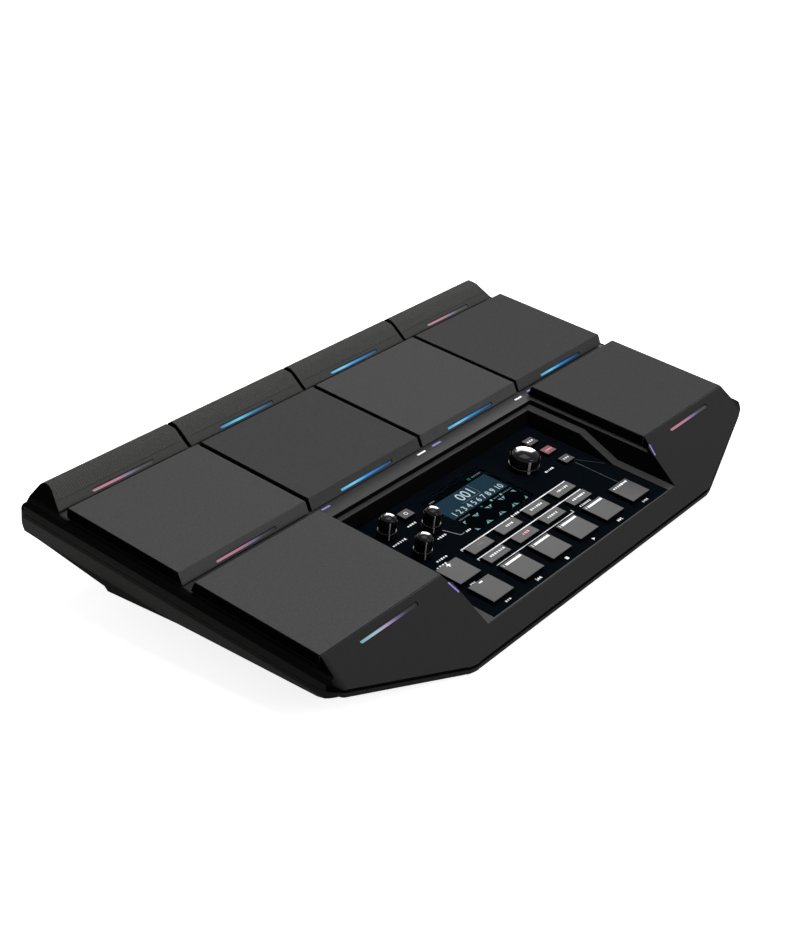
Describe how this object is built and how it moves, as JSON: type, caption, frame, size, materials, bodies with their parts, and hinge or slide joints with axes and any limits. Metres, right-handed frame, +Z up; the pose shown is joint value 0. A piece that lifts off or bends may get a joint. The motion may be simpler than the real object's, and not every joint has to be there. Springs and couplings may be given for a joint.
{
  "type": "sampling percussion pad",
  "caption": "Tabletop sampling percussion pad: sloping deck of struck pads with light bars around a sunken panel of buttons, knobs and a display.",
  "frame": {"origin": "on the surface under the feet, below the middle of the case's outline", "axes": "+X to the player's right, +Y to the rear, +Z up; the deck slopes up to the rear by 7 degrees"},
  "size_m": [0.427, 0.2576, 0.0684],
  "materials": {
    "case_black": "fine moulded texture",
    "base_black": "moulded texture",
    "pad_rubber": "fine textured playing surface",
    "bar_rubber": "finely ribbed crest",
    "panel_gloss": "gloss",
    "display_glass": "clear over a dark display",
    "module_grey": "satin",
    "board_green": "satin",
    "switch_black": "satin",
    "part_metal": "plated",
    "foam_grey": "closed-cell foam",
    "sensor_film": "film",
    "foot_rubber": "matte",
    "light_clear": "lit diffuser",
    "knob_black": "gloss top, ribbed grip",
    "button_grey": "satin"
  },
  "bodies": {
    "case": {"top_case": "case_black", "bottom_case": "base_black", "control_panel": "panel_gloss", "display_lens": "display_glass", "display_module": "module_grey", "panel_board": "board_green", "main_board": "board_green", "button_switches": "switch_black", "volume_pots": "part_metal", "encoder_body": "part_metal", "pad_cushions": "foam_grey", "pad_sensors": "sensor_film", "audio_jacks": "switch_black", "data_sockets": "part_metal", "rubber_feet": "foot_rubber", "case_screws": "part_metal", "front_lights": "light_clear"},
    "main_pad_1": {"main_pad_1": "pad_rubber", "pad_light_1": "light_clear"},
    "main_pad_2": {"main_pad_2": "pad_rubber", "pad_light_2": "light_clear"},
    "main_pad_3": {"main_pad_3": "pad_rubber", "pad_light_3": "light_clear"},
    "main_pad_4": {"main_pad_4": "pad_rubber", "pad_light_4": "light_clear"},
    "front_pad_left": {"front_pad_left": "pad_rubber"},
    "front_pad_right": {"front_pad_right": "pad_rubber"},
    "bar_pad_1": {"bar_pad_1": "bar_rubber", "bar_light_1": "light_clear"},
    "bar_pad_2": {"bar_pad_2": "bar_rubber", "bar_light_2": "light_clear"},
    "bar_pad_3": {"bar_pad_3": "bar_rubber", "bar_light_3": "light_clear"},
    "bar_pad_4": {"bar_pad_4": "bar_rubber", "bar_light_4": "light_clear"},
    "track_button_1": {"track_button_1": "button_grey"},
    "track_button_2": {"track_button_2": "button_grey"},
    "track_button_3": {"track_button_3": "button_grey"},
    "track_button_4": {"track_button_4": "button_grey"},
    "shift_button": {"shift_button": "button_grey"},
    "plus_button": {"plus_button": "button_grey"},
    "minus_button": {"minus_button": "button_grey"},
    "edit_button_1": {"edit_button_1": "button_grey"},
    "edit_button_2": {"edit_button_2": "button_grey"},
    "edit_button_3": {"edit_button_3": "button_grey"},
    "edit_button_4": {"edit_button_4": "button_grey"},
    "mode_button_1": {"mode_button_1": "button_grey"},
    "mode_button_2": {"mode_button_2": "button_grey"},
    "mode_button_3": {"mode_button_3": "button_grey"},
    "mode_button_4": {"mode_button_4": "button_grey"},
    "side_button_1": {"side_button_1": "button_grey"},
    "side_button_2": {"side_button_2": "button_grey"},
    "side_button_3": {"side_button_3": "button_grey"},
    "click_button": {"click_button": "button_grey"},
    "volume_knob_1": {"volume_knob_1": "knob_black"},
    "volume_knob_2": {"volume_knob_2": "knob_black"},
    "volume_knob_3": {"volume_knob_3": "knob_black"},
    "encoder_shaft": {"encoder_shaft": "part_metal"},
    "encoder_knob": {"encoder_knob": "knob_black"},
    "power_switch": {"power_switch": "switch_black"}
  },
  "joints": [
    {"name": "main_pad_1_strike", "type": "slide", "parent": "case", "child": "main_pad_1", "axis": [0, -0.1219, 0.9925], "range_m": [-0.0005, 0], "stiffness_N_per_m": 3000, "springref_m": 0.001},
    {"name": "main_pad_2_strike", "type": "slide", "parent": "case", "child": "main_pad_2", "axis": [0, -0.1219, 0.9925], "range_m": [-0.0005, 0], "stiffness_N_per_m": 3000, "springref_m": 0.001},
    {"name": "main_pad_3_strike", "type": "slide", "parent": "case", "child": "main_pad_3", "axis": [0, -0.1219, 0.9925], "range_m": [-0.0005, 0], "stiffness_N_per_m": 3000, "springref_m": 0.001},
    {"name": "main_pad_4_strike", "type": "slide", "parent": "case", "child": "main_pad_4", "axis": [0, -0.1219, 0.9925], "range_m": [-0.0005, 0], "stiffness_N_per_m": 3000, "springref_m": 0.001},
    {"name": "front_pad_left_strike", "type": "slide", "parent": "case", "child": "front_pad_left", "axis": [0, -0.1219, 0.9925], "range_m": [-0.0005, 0], "stiffness_N_per_m": 3000, "springref_m": 0.001},
    {"name": "front_pad_right_strike", "type": "slide", "parent": "case", "child": "front_pad_right", "axis": [0, -0.1219, 0.9925], "range_m": [-0.0005, 0], "stiffness_N_per_m": 3000, "springref_m": 0.001},
    {"name": "bar_pad_1_strike", "type": "slide", "parent": "case", "child": "bar_pad_1", "axis": [0, -0.1219, 0.9925], "range_m": [-0.0005, 0], "stiffness_N_per_m": 3000, "springref_m": 0.001},
    {"name": "bar_pad_2_strike", "type": "slide", "parent": "case", "child": "bar_pad_2", "axis": [0, -0.1219, 0.9925], "range_m": [-0.0005, 0], "stiffness_N_per_m": 3000, "springref_m": 0.001},
    {"name": "bar_pad_3_strike", "type": "slide", "parent": "case", "child": "bar_pad_3", "axis": [0, -0.1219, 0.9925], "range_m": [-0.0005, 0], "stiffness_N_per_m": 3000, "springref_m": 0.001},
    {"name": "bar_pad_4_strike", "type": "slide", "parent": "case", "child": "bar_pad_4", "axis": [0, -0.1219, 0.9925], "range_m": [-0.0005, 0], "stiffness_N_per_m": 3000, "springref_m": 0.001},
    {"name": "track_button_1_press", "type": "slide", "parent": "case", "child": "track_button_1", "axis": [0, -0.1219, 0.9925], "range_m": [-0.0008, 0], "stiffness_N_per_m": 500, "springref_m": 0.001},
    {"name": "track_button_2_press", "type": "slide", "parent": "case", "child": "track_button_2", "axis": [0, -0.1219, 0.9925], "range_m": [-0.0008, 0], "stiffness_N_per_m": 500, "springref_m": 0.001},
    {"name": "track_button_3_press", "type": "slide", "parent": "case", "child": "track_button_3", "axis": [0, -0.1219, 0.9925], "range_m": [-0.0008, 0], "stiffness_N_per_m": 500, "springref_m": 0.001},
    {"name": "track_button_4_press", "type": "slide", "parent": "case", "child": "track_button_4", "axis": [0, -0.1219, 0.9925], "range_m": [-0.0008, 0], "stiffness_N_per_m": 500, "springref_m": 0.001},
    {"name": "shift_button_press", "type": "slide", "parent": "case", "child": "shift_button", "axis": [0, -0.1219, 0.9925], "range_m": [-0.0008, 0], "stiffness_N_per_m": 500, "springref_m": 0.001},
    {"name": "plus_button_press", "type": "slide", "parent": "case", "child": "plus_button", "axis": [0, -0.1219, 0.9925], "range_m": [-0.0008, 0], "stiffness_N_per_m": 500, "springref_m": 0.001},
    {"name": "minus_button_press", "type": "slide", "parent": "case", "child": "minus_button", "axis": [0, -0.1219, 0.9925], "range_m": [-0.0008, 0], "stiffness_N_per_m": 500, "springref_m": 0.001},
    {"name": "edit_button_1_press", "type": "slide", "parent": "case", "child": "edit_button_1", "axis": [0, -0.1219, 0.9925], "range_m": [-0.0008, 0], "stiffness_N_per_m": 500, "springref_m": 0.001},
    {"name": "edit_button_2_press", "type": "slide", "parent": "case", "child": "edit_button_2", "axis": [0, -0.1219, 0.9925], "range_m": [-0.0008, 0], "stiffness_N_per_m": 500, "springref_m": 0.001},
    {"name": "edit_button_3_press", "type": "slide", "parent": "case", "child": "edit_button_3", "axis": [0, -0.1219, 0.9925], "range_m": [-0.0008, 0], "stiffness_N_per_m": 500, "springref_m": 0.001},
    {"name": "edit_button_4_press", "type": "slide", "parent": "case", "child": "edit_button_4", "axis": [0, -0.1219, 0.9925], "range_m": [-0.0008, 0], "stiffness_N_per_m": 500, "springref_m": 0.001},
    {"name": "mode_button_1_press", "type": "slide", "parent": "case", "child": "mode_button_1", "axis": [0, -0.1219, 0.9925], "range_m": [-0.0008, 0], "stiffness_N_per_m": 500, "springref_m": 0.001},
    {"name": "mode_button_2_press", "type": "slide", "parent": "case", "child": "mode_button_2", "axis": [0, -0.1219, 0.9925], "range_m": [-0.0008, 0], "stiffness_N_per_m": 500, "springref_m": 0.001},
    {"name": "mode_button_3_press", "type": "slide", "parent": "case", "child": "mode_button_3", "axis": [0, -0.1219, 0.9925], "range_m": [-0.0008, 0], "stiffness_N_per_m": 500, "springref_m": 0.001},
    {"name": "mode_button_4_press", "type": "slide", "parent": "case", "child": "mode_button_4", "axis": [0, -0.1219, 0.9925], "range_m": [-0.0008, 0], "stiffness_N_per_m": 500, "springref_m": 0.001},
    {"name": "side_button_1_press", "type": "slide", "parent": "case", "child": "side_button_1", "axis": [0, -0.1219, 0.9925], "range_m": [-0.0008, 0], "stiffness_N_per_m": 500, "springref_m": 0.001},
    {"name": "side_button_2_press", "type": "slide", "parent": "case", "child": "side_button_2", "axis": [0, -0.1219, 0.9925], "range_m": [-0.0008, 0], "stiffness_N_per_m": 500, "springref_m": 0.001},
    {"name": "side_button_3_press", "type": "slide", "parent": "case", "child": "side_button_3", "axis": [0, -0.1219, 0.9925], "range_m": [-0.0008, 0], "stiffness_N_per_m": 500, "springref_m": 0.001},
    {"name": "click_button_press", "type": "slide", "parent": "case", "child": "click_button", "axis": [0, -0.1219, 0.9925], "range_m": [-0.0008, 0], "stiffness_N_per_m": 500, "springref_m": 0.001},
    {"name": "volume_knob_1_turn", "type": "hinge", "parent": "case", "child": "volume_knob_1", "pos_m": [-0.0757, -0.02843, 0.02768], "axis": [0, -0.1219, 0.9925], "range_deg": [-300, 0]},
    {"name": "volume_knob_2_turn", "type": "hinge", "parent": "case", "child": "volume_knob_2", "pos_m": [-0.0505, -0.04133, 0.0261], "axis": [0, -0.1219, 0.9925], "range_deg": [-300, 0]},
    {"name": "volume_knob_3_turn", "type": "hinge", "parent": "case", "child": "volume_knob_3", "pos_m": [-0.0757, -0.05423, 0.02451], "axis": [0, -0.1219, 0.9925], "range_deg": [-300, 0]},
    {"name": "encoder_press", "type": "slide", "parent": "case", "child": "encoder_shaft", "axis": [0, -0.1219, 0.9925], "range_m": [-0.0005, 0], "stiffness_N_per_m": 800, "springref_m": 0.001},
    {"name": "encoder_turn", "type": "hinge", "parent": "encoder_shaft", "child": "encoder_knob", "pos_m": [0.048, -0.03984, 0.02628], "axis": [0, -0.1219, 0.9925], "continuous": true},
    {"name": "power_switch_press", "type": "slide", "parent": "case", "child": "power_switch", "axis": [0, 1, 0], "range_m": [-0.0015, 0], "stiffness_N_per_m": 500, "springref_m": 0.001}
  ]
}
